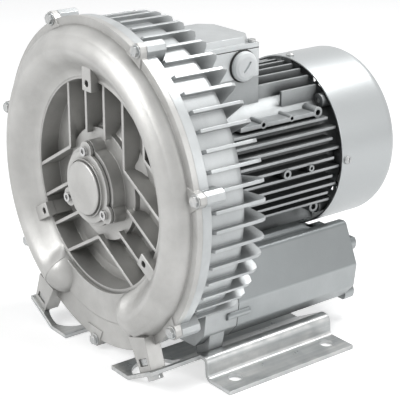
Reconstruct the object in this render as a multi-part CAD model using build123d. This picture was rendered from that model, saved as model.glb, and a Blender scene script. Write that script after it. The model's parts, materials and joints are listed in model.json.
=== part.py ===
from build123d import *
import os
from math import acos, asin, atan2, cos, degrees, pi, radians, sin, sqrt, tan

# Side channel blower, two ducted silencers under the motor, on two folded sheet feet.
# Each piece is built about the shaft: the shaft axis is Y, the cover flange face is y = 0
# and the motor lies towards +Y.  write() then stands it on its feet, with the origin at the
# centre of the foot bolt pattern on the floor.

# Overall and mounting, mm
shaft_height = 170.0
foot_span_x = 260.0
foot_span_y = 115.0
foot_hole_d = 14.0
face_to_foot_holes = 65.5

# Cover and casing castings
flange_out = 32.5
flange_t = 6.0
casting_wall = 5.0
channel_r = 125.5
channel_bore_r = 18.5
hump_rise = 17.5
gap_half_deg = 31.0
recess_depth = 22.0
rib_t = 3.2
rib_pitch = 30.0
rib_top = 3.0
lug_count = 7
lug_first_deg = 11.0
lug_screw_out = 2.0
lug_reach = 8.5
fin_count = 54
fin_first_deg = 4.8
fin_t = 3.2
fin_h = 4.0
fin_reach = 82.0
duct_half_deg = 43.0
casing_depth = 62.0
neck_r = 80.0
neck_end = 88.0

cap_seat = -4.5
cap_screw_r = 35.5
tie_r = 80.0
tie_angles = (45.0, 135.0, 225.0, 315.0)
front_leg = (-10.0, 6.0)
rear_leg = (55.0, 72.0)
nut_z = 9.0

# Impeller and shaft
ring_half = 19.8
ring_w = 26.0
vane_count = 36
vane_t = 2.6
hub_r = 30.0
hub_l = 26.0
running_gap = 0.6
shaft_front_r = 12.5
shaft_hub_r = 14.0
shaft_core_r = 17.0
shaft_rear_r = 10.0
shaft_end = 290.0

# Ball bearings: bore, outer and width, and the ball
front_brg_start = -2.5
front_brg_od = 52.0
front_brg_w = 15.0
front_ball_d = 7.9
rear_brg_od = 47.0
rear_brg_w = 14.0
rear_ball_d = 7.9
ball_count = 9
spring_l = 2.0

# Shaft seals
front_seal_r = 20.0
rear_seal_r = 23.5
seal_w = 8.0

# Motor
frame_bore_r = 68.0
frame_wall = 5.0
fin_circle_r = 84.5
frame_end = 240.0
shield_screw_r = 78.0
shield_t = 6.0
shelf_z = 50.0
motor_fin_t = 2.6
motor_fin_pitch = 9.5
core_start = 112.0
core_l = 78.0
winding_l = 16.0
air_gap = 0.5
stator_id_r = 42.0
fan_cover_r = 88.4
fan_cover_t = 1.5
fan_cover_start = 232.5
fan_cover_end = 310.0
fan_r = 75.0
fan_start = 257.0
fan_w = 25.0

# Terminal box
box_half = 40.0
box_rear = 164.0
box_len = 79.0
box_floor_z = 87.8
box_h = 27.2
box_wall = 4.0
lid_h = 11.8
plug_head_r = 14.5
plug_thread_r = 12.3
earth_y = 104.0
earth_z = 76.0

# Silencers
silencer_start = 85.0
silencer_end = 236.0
silencer_wall = 4.0
port_x = 56.0
port_z = -115.0
port_bore_r = 28.3
silencer_port_r = 25.0
foam_bore_r = 22.0

# Feet: folded sheet
sheet_t = 4.0
foot_front = -13.0
flange_front = 44.0
foot_rear = 198.0
foot_edge_x = 149.0
foot_wall_x = 113.5
foot_rise = 23.5
incline_deg = 28.0
toe_x = 41.0
foot_window_r = 23.5
foot_window_y = 16.0

# Fasteners
m8_r = 4.0
m8_head_r = 6.5
m8_head_h = 5.3
m6_r = 3.0
m6_head_r = 5.0
m6_head_h = 3.6
m5_r = 2.5
m5_head_r = 4.2
m5_head_h = 3.2
thread_gap = 0.1
hole_gap = 0.4
seat_gap = 0.05
gasket_t = 0.8

# Values that follow from those above
flange_r = channel_r + flange_out
lug_screw_r = flange_r + lug_screw_out
lug_tip_r = flange_r + lug_reach
land_front = flange_t
impeller_front = land_front + running_gap
impeller_rear = impeller_front + ring_w
land_rear = impeller_rear + running_gap
casing_bore_r = channel_r + ring_half + running_gap
casing_r = casing_bore_r + casting_wall - 0.9
recess_wall_r = channel_r - ring_half - running_gap - 0.6
lip_r = recess_wall_r - 4.5
collar_r = lip_r * 0.54
web_back = recess_depth + casting_wall
floor_z = -shaft_height
incline = radians(incline_deg)
apex_z = floor_z + foot_rise
group_angles = (90.0, -30.0, 210.0)
apex_x = foot_wall_x - 9.5
leg_bolt_x = apex_x - 10.0
front_brg_end = front_brg_start + front_brg_w
front_seal_y = front_brg_end + 1.5
hub_front = web_back + running_gap
hub_rear = hub_front + hub_l
seal_end = hub_rear + 10.0
rear_brg_start = frame_end - rear_brg_w - spring_l
pad_y = frame_end - 1.0
box_y = box_rear - box_len / 2
box_top = box_floor_z + box_h
plug_y = box_rear - 20.0
plug_z = box_top - plug_head_r - 0.4
lid_screw_xy = [(sx * (box_half - 5.0), box_y + sy * (box_len / 2 - 5.0)) for sx in (-1, 1)
                for sy in (-1, 1)]


def slab(sketch, y0, y1):
    """A sketch drawn in x and z, extruded from y0 to y1."""
    return extrude(Plane.XZ.offset(-y0) * sketch, amount=y1 - y0, dir=(0, 1, 0))


def tube(r_out, r_in, y0, y1):
    return slab(Circle(r_out) - Circle(r_in), y0, y1)


def rod(r, y0, y1, x=0.0, z=0.0):
    return slab(Pos(x, z) * Circle(r), y0, y1)


def spun(points, arc=360.0):
    """Revolve a closed outline of (radius, y) points about the shaft."""
    return revolve(Polygon(*points, align=None), Axis.Y, revolution_arc=arc)


def turned(shape, angle):
    """Turn about the shaft: 0 is +X and 90 is up."""
    return Rot(0, -angle, 0) * shape


def plate(points, thickness):
    """A radial plate: outline in (radius, y), centred on the XY plane."""
    return extrude(Polygon(*points, align=None), thickness / 2, both=True)


def polar(r, angle):
    return r * cos(radians(angle)), r * sin(radians(angle))


def mirrored(shape):
    return mirror(shape, about=Plane.YZ)


def lug_angles():
    return [lug_first_deg + 360.0 * i / lug_count for i in range(lug_count)]


def joined(shapes):
    """Fuse a list of shapes into one."""
    first, *rest = shapes
    return first.fuse(*rest) if rest else first


def screw(shank_r, shank_l, head_r, head_h):
    """A hexagon screw: the head stands on y = 0 towards -Y and the shank runs to +Y."""
    head = slab(RegularPolygon(head_r, 6), -head_h, 0)
    return head + rod(shank_r, 0, shank_l)


# ---------------------------------------------------------------- front cover

def hump_outline(bore):
    """Half section of the side channel bulge, in (radius, y)."""
    if bore:
        return Pos(channel_r, land_front) * Circle(channel_bore_r)
    crest = -hump_rise
    side = channel_bore_r + casting_wall
    a = (channel_r + side + 1.5, 0.0)
    b = (channel_r + side * 0.72, crest + 6.0)
    c = (channel_r - side * 0.36, crest + 1.5)
    d = (channel_r - side + 0.8, recess_depth * 0.1)
    arc_ab = ThreePointArc(a, (channel_r + side * 0.95, crest * 0.37), b)
    arc_bc = ThreePointArc(b, (channel_r + side * 0.19, crest), c)
    arc_cd = ThreePointArc(c, (channel_r - side * 0.79, crest * 0.54), d)
    foot = Polyline(d, (d[0], land_front), (a[0], land_front), a)
    return make_face(arc_ab + arc_bc + arc_cd + foot)


def hump(bore):
    """The bulge over the side channel, open where the ports are divided at the bottom."""
    arc = 360.0 - 2 * gap_half_deg
    band = revolve(hump_outline(bore), Axis.Y, revolution_arc=arc)
    band = turned(band, 270.0 - gap_half_deg)
    radius = channel_bore_r if bore else channel_bore_r + casting_wall
    half = Sphere(radius) & Pos(0, -radius, 0) * Box(3 * radius, 2 * radius, 3 * radius)
    ends = []
    for side in (-1, 1):
        x, z = polar(channel_r, 270.0 + side * gap_half_deg)
        ends.append(Pos(x, land_front, z) * half)
    return band, ends


def cover_ribs():
    """Three groups of straight ribs, each group square to one of the cap screws."""
    ribs = []
    offsets = [rib_pitch * (i - 1.5) for i in range(4)]
    for angle in group_angles:
        for offset in offsets:
            start = sqrt(max(collar_r ** 2 - offset ** 2, 0.0)) - 4.0
            end = sqrt(lip_r ** 2 - offset ** 2) + 1.5
            ribs.append(cover_rib(start, end, offset, angle))
    outer = rib_pitch * 2.56
    corner = outer * tan(radians(30.0))
    end = sqrt(lip_r ** 2 - outer ** 2) + 1.5
    ribs.append(cover_rib(corner, end, outer, group_angles[0]))
    ribs.append(cover_rib(corner, end, -outer, group_angles[1]))
    return ribs


def cover_rib(start, end, offset, angle):
    rib = Pos((start + end) / 2, (rib_top + web_back) / 2, -offset) \
        * Box(end - start, web_back - rib_top, rib_t)
    return turned(rib, angle)


def cover_tabs():
    """Flat drilled bars in the middle of each rib group."""
    tabs = []
    inner = lip_r - 8.5
    outer = lip_r + 16.0
    for angle in group_angles:
        bar = Pos((inner + outer) / 2, (web_back - 5.0) / 2, 0) \
            * Box(outer - inner, web_back + 5.0, 14.0)
        bar -= rod(3.2, -6.0, 12.0, inner + 7.0)
        tabs.append(turned(bar, angle))
    return tabs


def lug_outline(half_root, half_tip):
    root_r = flange_r - 11.0
    return Polygon((root_r, -half_root), (lug_tip_r - 4.0, -half_tip), (lug_tip_r, -half_tip * 0.5),
                   (lug_tip_r, half_tip * 0.5), (lug_tip_r - 4.0, half_tip), (root_r, half_root),
                   align=None)


def cover_lugs():
    ear = slab(lug_outline(12.5, 6.0), -1.0, flange_t)
    return [turned(ear, angle) for angle in lug_angles()]


def lug_holes(y0, y1, gap):
    return [turned(rod(m6_r + gap, y0, y1, lug_screw_r), angle) for angle in lug_angles()]


def foot_top_z(x):
    """Height of the upper face of the sloping part of the right foot."""
    return apex_z - (apex_x - x) * tan(incline)


def leg(y0, y1, top):
    """A cast leg on the right foot, its sole lying on the foot's slope."""
    inner = leg_bolt_x - 9.3
    outer = leg_bolt_x + 8.0
    outline = Polygon(*top, (outer, foot_top_z(outer)), (inner, foot_top_z(inner)), align=None)
    return slab(outline, y0, y1)


def on_slope(shape, y):
    """Stand a shape, built upwards from z = 0, on the right foot's slope."""
    return Pos(leg_bolt_x, y, foot_top_z(leg_bolt_x)) * Rot(0, -incline_deg, 0) * shape


def leg_cut(y0, y1):
    """Bolt hole and square nut pocket, open to the outer end of the leg."""
    mid = (y0 + y1) / 2
    hole = Pos(0, 0, 9.0) * Cylinder(m8_r + hole_gap, 20.0)
    return on_slope(hole, mid)


def nut_pocket(y0, y1, towards):
    mid = (y0 + y1) / 2
    reach = (y1 - y0) / 2 + 7.0
    slot = Pos(0, towards * (reach / 2 - 7.0), nut_z) * Box(13.6, reach + 0.4, 7.0)
    return on_slope(slot, mid)


def front_cover():
    ring = spun([(lip_r, rib_top - 0.5), (recess_wall_r, rib_top - 0.5), (recess_wall_r, 0),
                 (flange_r, 0), (flange_r, flange_t), (recess_wall_r, flange_t),
                 (recess_wall_r, web_back), (lip_r - 4.0, web_back), (lip_r - 2.0, recess_depth)])
    web = tube(recess_wall_r, 20.0, recess_depth, web_back)
    collar = tube(collar_r, 20.0, 9.0, web_back)
    boss = tube(38.0, 20.0, cap_seat, web_back)
    lobes = [turned(rod(9.5, cap_seat, 12.0, cap_screw_r), a) for a in group_angles]
    plateau = turned(spun([(recess_wall_r - 1, -1.5), (132.0, -1.5), (134.5, 0.5),
                           (recess_wall_r - 1, 0.5)], 2 * gap_half_deg + 12), 306.0 + 1.0)
    band, ends = hump(False)
    legs = [leg(*front_leg, [(66.0, -127.0), (91.5, -118.0)])]
    legs += [mirrored(legs[0])]
    body = joined([ring, web, collar, boss, band, plateau] + ends + lobes + legs
                  + cover_tabs() + cover_lugs() + cover_ribs())
    bore, bore_ends = hump(True)
    body = body.cut(bore, *bore_ends)
    body -= spun([(recess_wall_r, flange_t), (flange_r + 1, flange_t), (flange_r + 1, 40.0),
                  (recess_wall_r, 40.0)])
    body -= rod(front_brg_od / 2 + seat_gap, cap_seat - 1, front_brg_end)
    body -= rod(front_seal_r + seat_gap, front_brg_end - 0.1, front_brg_end + 3.0 + seal_w)
    body -= rod(shaft_hub_r + 4.5, cap_seat - 1, web_back + 1)
    body = body.cut(*lug_holes(-2, flange_t + 1, hole_gap))
    for angle in group_angles:
        body -= turned(rod(m6_r + thread_gap, cap_seat - 1, 10.0, cap_screw_r), angle)
    for cut in (leg_cut(*front_leg), nut_pocket(*front_leg, -1)):
        body = body.cut(cut, mirrored(cut))
    return body


def bearing_cap():
    base = joined([tube(34.0, 0.001, cap_seat - gasket_t - 3.0, cap_seat - gasket_t)]
                  + [turned(rod(9.0, cap_seat - gasket_t - 3.0, cap_seat - gasket_t, cap_screw_r), a)
                     for a in group_angles])
    y1 = cap_seat - gasket_t - 2.0
    disc = spun([(0, y1), (28.0, y1), (28.0, y1 - 3.4), (26.8, y1 - 3.4), (26.8, y1 - 2.4),
                 (25.6, y1 - 2.4), (25.6, y1 - 5.2), (24.4, y1 - 6.0), (0, y1 - 6.0)])
    body = base + disc
    for angle in group_angles:
        body -= turned(rod(m6_r + hole_gap, -30, 0, cap_screw_r), angle)
    return body


def bearing_cap_gasket():
    body = joined([rod(34.0, cap_seat - gasket_t, cap_seat)]
                  + [turned(rod(9.0, cap_seat - gasket_t, cap_seat, cap_screw_r), a)
                     for a in group_angles])
    body -= rod(front_brg_od / 2, cap_seat - 2, cap_seat + 1)
    for angle in group_angles:
        body -= turned(rod(m6_r + hole_gap, -30, 0, cap_screw_r), angle)
    return body


def bearing_cap_screws():
    seat = cap_seat - gasket_t - 3.0
    part = Pos(0, seat, 0) * cap_screw_shape()
    return [turned(Pos(cap_screw_r, 0, 0) * part, a) for a in group_angles]


def cap_screw_shape():
    """Cheese head screw with a hexagon socket."""
    head = rod(m6_head_r - 0.4, -m6_head_h, 0) - slab(RegularPolygon(2.6, 6), -m6_head_h, -1.6)
    return head + rod(m6_r, 0, 14.0)


def cover_screws():
    part = Pos(lug_screw_r, -1.0, 0) * screw(m6_r, 24.0, m6_head_r, m6_head_h)
    return [turned(part, a) for a in lug_angles()]


# ---------------------------------------------------------------- bearings

def bearing(inner_r, outer_d, width, ball_d, start):
    """Outer ring, inner ring, cage and balls of a deep groove bearing."""
    outer_r = outer_d / 2
    pitch = (inner_r + outer_r) / 2
    mid = start + width / 2
    land = ball_d * 0.38
    race = Torus(pitch, ball_d / 2 + seat_gap)
    race = Pos(0, mid, 0) * Rot(90, 0, 0) * race
    outer = tube(outer_r, pitch + land, start, start + width) - race
    inner = tube(pitch - land, inner_r, start, start + width) - race
    balls = []
    cage = tube(pitch + 1.2, pitch - 1.2, mid - ball_d * 0.62, mid + ball_d * 0.62)
    for i in range(ball_count):
        x, z = polar(pitch, 360.0 * i / ball_count)
        balls.append(Pos(x, mid, z) * Sphere(ball_d / 2))
        pocket = Rot(0, 90, 0) * Cylinder(ball_d / 2 + seat_gap, 6.0)
        cage -= turned(Pos(pitch, mid, 0) * pocket, 360.0 * i / ball_count)
    return outer, inner, cage, balls


def wave_spring():
    ring_y = rear_brg_start + rear_brg_w
    return tube(rear_brg_od / 2 - 0.3, rear_brg_od / 2 - 3.5, ring_y, frame_end)


def shaft_seal(inner_r, outer_r, y0, width):
    """A lip seal: a cup with a lip that stands just off the shaft."""
    return spun([(inner_r + seat_gap, y0 + width * 0.4), (inner_r + 1.0, y0), (outer_r, y0),
                 (outer_r, y0 + width), (outer_r - 1.5, y0 + width), (outer_r - 1.5, y0 + 1.6),
                 (inner_r + 1.6, y0 + 1.6), (inner_r + 1.2, y0 + width * 0.6),
                 (inner_r + seat_gap, y0 + width * 0.6)])


# ---------------------------------------------------------------- rotor


def shaft():
    steps = [(0, front_brg_start + 0.5), (shaft_front_r, front_brg_start + 0.5),
             (shaft_front_r, front_brg_end), (shaft_hub_r, front_brg_end),
             (shaft_hub_r, hub_rear), (shaft_core_r, hub_rear),
             (shaft_core_r, core_start + core_l + 8.0), (shaft_rear_r + 3.0, core_start + core_l + 8.0),
             (shaft_rear_r + 3.0, rear_brg_start), (shaft_rear_r, rear_brg_start),
             (shaft_rear_r, fan_start - 2.0), (shaft_rear_r - 1.0, fan_start - 2.0),
             (shaft_rear_r - 1.0, shaft_end), (0, shaft_end)]
    body = spun(steps)
    body -= key_shape(0.0)
    groove = tube(shaft_rear_r, shaft_rear_r - 1.6, fan_start + fan_w, fan_start + fan_w + 1.3)
    front_groove = tube(shaft_hub_r + 1, shaft_hub_r - 1.0, hub_front - 1.5, hub_front)
    return body - groove - front_groove


def key_shape(grow):
    length = hub_rear - hub_front - 4.0
    y = (hub_front + hub_rear) / 2
    return Pos(shaft_hub_r + 0.2 + grow / 2, y, 0) * Box(6.0 + grow, length, 8.0)


def impeller_key():
    return key_shape(0.0)


def impeller_retaining_ring():
    ring = tube(shaft_hub_r + 3.2, shaft_hub_r - 0.9, hub_front - 1.4, hub_front - 0.1)
    return ring - Pos(shaft_hub_r, hub_front - 1, 0) * Box(10, 6, 6)


def impeller():
    """Cup shaped wheel with a double row of pockets round its rim."""
    r_in = channel_r - ring_half
    r_out = channel_r + ring_half
    disc_t = 5.0
    rim = tube(r_out, r_in, impeller_front, impeller_rear)
    disc = tube(r_in + 2, shaft_hub_r + seat_gap, impeller_rear - disc_t, impeller_rear)
    hub = tube(hub_r, shaft_hub_r + seat_gap, hub_front, hub_rear)
    mid = (impeller_front + impeller_rear) / 2
    depth = ring_w / 2 - 2.0
    wide = channel_bore_r - 0.5
    pocket = [(channel_r - wide, impeller_front - 1), (channel_r + wide, impeller_front - 1),
              (channel_r + wide, impeller_front + 4), (channel_r + wide * 0.45, impeller_front + depth),
              (channel_r - wide * 0.45, impeller_front + depth), (channel_r - wide, impeller_front + 4)]
    front = spun(pocket)
    rear = spun([(r, 2 * mid - y) for r, y in pocket][::-1])
    vane = Pos(channel_r, mid, 0) * Box(2 * ring_half - 1, ring_w, vane_t)
    vanes = [turned(vane, 360.0 * i / vane_count) for i in range(vane_count)]
    body = (rim - front - rear).fuse(*vanes)
    body = body.fuse(disc, hub)
    body -= spun([(r_in - 30, impeller_rear + 0.001), (r_out + 2, impeller_rear + 0.001),
                  (r_out + 2, impeller_rear + 9), (r_in - 30, impeller_rear + 9)])
    return body - key_shape(0.0)


def rotor_core():
    r = stator_id_r - air_gap
    core = tube(r, shaft_core_r + 0.0, core_start, core_start + core_l)
    ends = [tube(r - 1.5, r - 9.0, core_start - 5.0, core_start),
            tube(r - 1.5, r - 9.0, core_start + core_l, core_start + core_l + 5.0)]
    return core.fuse(*ends)


def cooling_fan():
    bore = shaft_rear_r - 1.0 + seat_gap
    hub = tube(18.0, bore, fan_start, fan_start + fan_w)
    disc = tube(fan_r - 12.0, bore, fan_start, fan_start + 2.2)
    blade = plate([(16.0, fan_start), (fan_r, fan_start), (fan_r, fan_start + fan_w - 6.0),
                   (fan_r - 10.0, fan_start + fan_w), (16.0, fan_start + fan_w)], 2.4)
    return joined([hub, disc] + [turned(blade, 45.0 * i + 12.0) for i in range(8)])


def fan_retaining_clip():
    r = shaft_rear_r - 1.6
    ring = tube(r + 4.0, r + seat_gap, fan_start + fan_w, fan_start + fan_w + 1.2)
    return ring - Pos(r, fan_start + fan_w, 0) * Box(12, 5, 5)


# ---------------------------------------------------------------- rear casing

def duct_outline(inset=0.0):
    """Section of the right silencer, which also ends the casing's port stub."""
    shape = Polygon((4, -96), (36, -91), (60, -84), (83, -63), (93, -62), (111, -103),
                    (108, -127), (94, -143), (20, -147), (4, -138), align=None)
    shape = fillet(shape.vertices(), 5.0)
    return offset(shape, -inset) if inset else shape


def casing_fins():
    """Short fins along the rim that turn over the rear edge, left out behind the silencers."""
    outer = casing_r + fin_h
    root = casing_r - 1.0
    blank = plate([(root, 20.0), (outer, 24.0), (outer, fin_reach - 7.0), (outer - 2.0, fin_reach - 2.0),
                   (outer - 7.0, fin_reach), (channel_r - 8.0, fin_reach),
                   (neck_r + 8.0, casing_depth - 4.0), (neck_r + 8.0, casing_depth - 20.0),
                   (root, casing_depth - 20.0)], fin_t)
    pitch = 360.0 / fin_count
    angles = [fin_first_deg + pitch * i for i in range(fin_count)]
    return [turned(blank, a) for a in angles if abs(a % 360.0 - 270.0) > duct_half_deg]


def casing_lugs():
    """Blocks behind the cover's ears, which hold the cover screws."""
    block = slab(lug_outline(7.0, 6.5), flange_t, 26.0)
    return [turned(block, angle) for angle in lug_angles()]


def rear_casing():
    rim_r = flange_r - 0.5
    shell = revolve(casing_section(rim_r), Axis.Y)
    stub = slab(duct_outline(), 46.0, silencer_start - gasket_t)
    stub_cut = slab(duct_outline(silencer_wall), casing_depth - 3.0, silencer_start)
    step = leg(*rear_leg, [(84.0, -128.0), (107.0, -122.0)])
    ears = [turned(rod(8.0, neck_end - 10.0, neck_end, tie_r), a) for a in tie_angles]
    body = joined([shell] + casing_fins())
    body = body.fuse(stub, mirrored(stub), step, mirrored(step), *ears, *casing_lugs())
    body -= rod(casing_bore_r, 0, land_rear)
    groove = Pos(channel_r, land_rear) * Circle(channel_bore_r)
    groove = turned(revolve(groove, Axis.Y, revolution_arc=360 - 2 * gap_half_deg), 270 - gap_half_deg)
    passage = slab(Pos(port_x + 2, -105.0) * Circle(17.0), land_rear, casing_depth)
    body = body.cut(groove, stub_cut, mirrored(stub_cut), passage, mirrored(passage))
    body = body.cut(*lug_holes(0, 24.0, thread_gap))
    for angle in tie_angles:
        body -= turned(rod(m6_r + thread_gap, neck_end - 12, neck_end + 1, tie_r), angle)
    for cut in (leg_cut(*rear_leg), nut_pocket(*rear_leg, 1)):
        body = body.cut(cut, mirrored(cut))
    return body


def casing_section(rim_r):
    """Half section of the casing, from the hub opening round the rim and back to the seal seat."""
    back = casing_depth
    waist = back - 15.0
    bend = 9.0
    inner = hub_r + 2.0
    seal_r = rear_seal_r + seat_gap
    front = Polyline((inner, land_rear - 0.5), (casing_bore_r - 2, land_rear - 0.5),
                     (casing_bore_r - 2, flange_t), (rim_r, flange_t), (rim_r, 16.0),
                     (casing_r, 20.0), (casing_r, back - bend))
    corner = TangentArc((casing_r, back - bend), (casing_r - bend, back), tangent=(0, 1))
    rear = Polyline((casing_r - bend, back), (channel_r - 8.0, back), (channel_r - 25.0, waist),
                    (neck_r, waist), (neck_r, neck_end), (neck_r - 8.0, neck_end),
                    (neck_r - 8.0, waist), (inner + 9.0, waist), (inner + 9.0, seal_end),
                    (seal_r, seal_end), (seal_r, seal_end - seal_w), (inner, seal_end - seal_w),
                    (inner, land_rear - 0.5))
    return make_face(front + corner + rear)


# ---------------------------------------------------------------- motor

def motor_frame():
    """Frame with level fins on its sides and upright fins above and below."""
    root = frame_bore_r + frame_wall
    body = tube(root, 60.0, neck_end, frame_end)
    fins = []
    for i in range(-5, 5):
        z = 6.0 + motor_fin_pitch * (i - 0.2)
        reach = sqrt(fin_circle_r ** 2 - z ** 2)
        rear = frame_end - (8.0 if i % 2 else 15.0)
        fins += [side_fin(z, reach, rear, side) for side in (-1, 1)]
    for i in range(9):
        x = motor_fin_pitch * (i - 4) * 1.25
        fins.append(upright_fin(x, -1, 100.0, frame_end - 9.0))
        start = box_rear + 2.0 if abs(x) < box_half + 2 else box_rear + 22.0
        fins.append(upright_fin(x, 1, start, frame_end - 9.0))
    saddle = Pos(0, (neck_end + box_rear) / 2, (box_floor_z + 50.0) / 2) \
        * Box(2 * box_half, box_rear - neck_end, box_floor_z - 50.0)
    shelf_y = (118.0, 210.0)
    shelf = Pos(0, sum(shelf_y) / 2, shelf_z - 2.0) * Box(2 * 70.0, shelf_y[1] - shelf_y[0], 4.0)
    rear_ears = [turned(rod(7.0, frame_end - 12.0, frame_end, shield_screw_r), a)
                 for a in tie_angles]
    front_ears = [turned(rod(8.0, neck_end, neck_end + 9.0, tie_r), a) for a in tie_angles]
    bosses = [boss for side in (-1, 1) for boss in side_bosses(side)]
    solids = [saddle, shelf] + fins + rear_ears + front_ears + [b for b, _ in bosses]
    body = body.fuse(*solids)
    body -= rod(frame_bore_r, neck_end - 1, frame_end + 1)
    wire_way = Pos(0, (core_start + core_start) / 2 + 30.0, box_floor_z - 15.0) * Box(36.0, 40.0, 60.0)
    body = body.cut(wire_way, *[hole for _, hole in bosses])
    for angle in tie_angles:
        body -= turned(rod(m6_r + hole_gap, neck_end - 1, neck_end + 10, tie_r), angle)
        body -= turned(rod(m5_r + thread_gap, frame_end - 13, frame_end + 1, shield_screw_r), angle)
    body -= Pos(-box_half, earth_y, earth_z) * Rot(0, 90, 0) * Cylinder(m5_r + thread_gap, 24.0)
    return body


def side_fin(z, reach, rear, side):
    start = neck_end + 8.0
    mid = (frame_bore_r * 0.6 + reach) / 2
    return Pos(side * mid, (start + rear) / 2, z) \
        * Box(reach - frame_bore_r * 0.6, rear - start, motor_fin_t)


def upright_fin(x, side, start, rear):
    reach = sqrt(fin_circle_r ** 2 - x ** 2)
    root = sqrt((frame_bore_r + 2.0) ** 2 - x ** 2)
    return Pos(x, (start + rear) / 2, side * (root + reach) / 2) \
        * Box(motor_fin_t, rear - start, reach - root)


def side_bosses(side):
    """Round bosses that point sideways, four of them for feet: outer radius, y, z and end."""
    foot_r = 5.5
    sizes = [(4.0, 146.0, 48.7, 70.0), (3.4, 181.5, 48.7, 70.0), (foot_r, 215.0, 48.7, 70.0),
             (foot_r, 213.0, -48.7, 70.0), (4.6, 163.0, 0.0, fin_circle_r + 2),
             (3.2, 194.0, 0.0, fin_circle_r + 2), (foot_r, 130.0, -48.7, 70.0)]
    bosses = []
    for r, y, z, end in sizes:
        start = 52.0
        place = Pos(side * (start + end) / 2, y, z) * Rot(0, 90, 0)
        drill = Pos(side * (end - 4.0), y, z) * Rot(0, 90, 0)
        bosses.append((place * Cylinder(r, end - start), drill * Cylinder(r * 0.52, 10.0)))
    return bosses


def motor_fixing_screws():
    part = Pos(0, neck_end + 9.0, 0) * Rot(0, 0, 180) * screw(m6_r, 19.0, m6_head_r, m6_head_h)
    return [turned(Pos(tie_r, 0, 0) * part, a) for a in tie_angles]


def stator_core():
    return tube(frame_bore_r - 0.02, stator_id_r, core_start, core_start + core_l)


def stator_windings():
    """End turns at both ends of the core."""
    ends = []
    for y, way in ((core_start, -1), (core_start + core_l, 1)):
        y0, y1 = sorted((y, y + way * winding_l))
        coil = tube(frame_bore_r - 4.0, stator_id_r + 3.0, y0, y1)
        face = coil.faces().sort_by(Axis.Y)[-1 if way > 0 else 0]
        ends.append(fillet(face.edges(), 4.0))
    return ends


def rear_end_shield():
    hub = tube(rear_brg_od / 2 + 6.5, shaft_rear_r + 1.0, rear_brg_start - 1.0, frame_end + 6.0)
    disc = tube(frame_bore_r + frame_wall - 1.0, shaft_rear_r + 1.0, frame_end, frame_end + 6.0)
    spigot = tube(frame_bore_r - seat_gap, frame_bore_r - 5.0, frame_end - 6.0, frame_end)
    ears = [turned(rod(7.0, frame_end, frame_end + 6.0, shield_screw_r), a) for a in tie_angles]
    pads = [turned(pad_block(), 90.0 * i) for i in range(4)]
    body = joined([hub, disc, spigot] + ears + pads)
    body -= rod(rear_brg_od / 2 + seat_gap, rear_brg_start - 2, frame_end)
    for angle in tie_angles:
        body -= turned(rod(m5_r + hole_gap, frame_end - 1, frame_end + 7, shield_screw_r), angle)
    for i in range(4):
        hole = Pos(fan_cover_r - 8.0, pad_y, 0) * Rot(0, 90, 0) * Cylinder(m5_r + thread_gap, 20.0)
        body -= turned(hole, 90.0 * i)
    return body


def pad_block():
    """Pad that the fan cover is screwed to."""
    inner = frame_bore_r + frame_wall + 1.5
    outer = fan_cover_r - fan_cover_t - 0.05
    block = Pos((inner + outer) / 2, frame_end, 0) * Box(outer - inner, 12.0, 14.0)
    link = Pos(inner - 2.0, frame_end + 3.0, 0) * Box(8.0, 6.0, 14.0)
    return (block + link) & rod(outer, frame_end - 20, frame_end + 20)


def end_shield_screws():
    part = Pos(shield_screw_r, frame_end + 6.0, 0) * Rot(0, 0, 180) \
        * screw(m5_r, 17.0, m5_head_r, m5_head_h)
    return [turned(part, a) for a in tie_angles]


def fan_cover():
    """Pressed cowl with a slotted rear face."""
    r1 = fan_cover_r
    bend = 12.0
    inner = r1 - fan_cover_t
    outside = Polyline((0, fan_cover_end), (r1 - bend, fan_cover_end)) \
        + RadiusArc((r1 - bend, fan_cover_end), (r1, fan_cover_end - bend), bend) \
        + Line((r1, fan_cover_end - bend), (r1, fan_cover_start))
    rim = Line((r1, fan_cover_start), (inner, fan_cover_start))
    back = fan_cover_end - fan_cover_t
    inside = Line((inner, fan_cover_start), (inner, back - bend + fan_cover_t)) \
        + RadiusArc((inner, back - bend + fan_cover_t), (r1 - bend, back), -(bend - fan_cover_t)) \
        + Polyline((r1 - bend, back), (0, back), (0, fan_cover_end))
    body = revolve(make_face(outside + rim + inside), Axis.Y)
    slots = [tube(18.0 + 11.0 * i, 12.0 + 11.0 * i, back - 1, fan_cover_end + 1) for i in range(6)]
    spokes = [turned(Pos(40.0, back, 0) * Box(80.0, 6.0, 5.0), 60.0 * i + 30.0) for i in range(6)]
    body = body.cut(*[slot.cut(*spokes) for slot in slots])
    for i in range(4):
        hole = Pos(r1, pad_y, 0) * Rot(0, 90, 0) * Cylinder(m5_r + hole_gap, 12.0)
        body -= turned(hole, 90.0 * i)
    return body


def fan_cover_screws():
    """Pan head screws, radial."""
    head = spun([(0, 0), (m5_head_r, 0), (m5_head_r, -1.4), (m5_head_r - 1.8, -m5_head_h),
                 (0, -m5_head_h)][::-1])
    part = head + rod(m5_r, 0, 9.0)
    part -= Pos(0, -m5_head_h, 0) * Box(1.2, 2.0, 6.0)
    part = Pos(fan_cover_r, pad_y, 0) * Rot(0, 0, 90) * part
    return [turned(part, 90.0 * i) for i in range(4)]


# ---------------------------------------------------------------- terminal box


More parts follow.
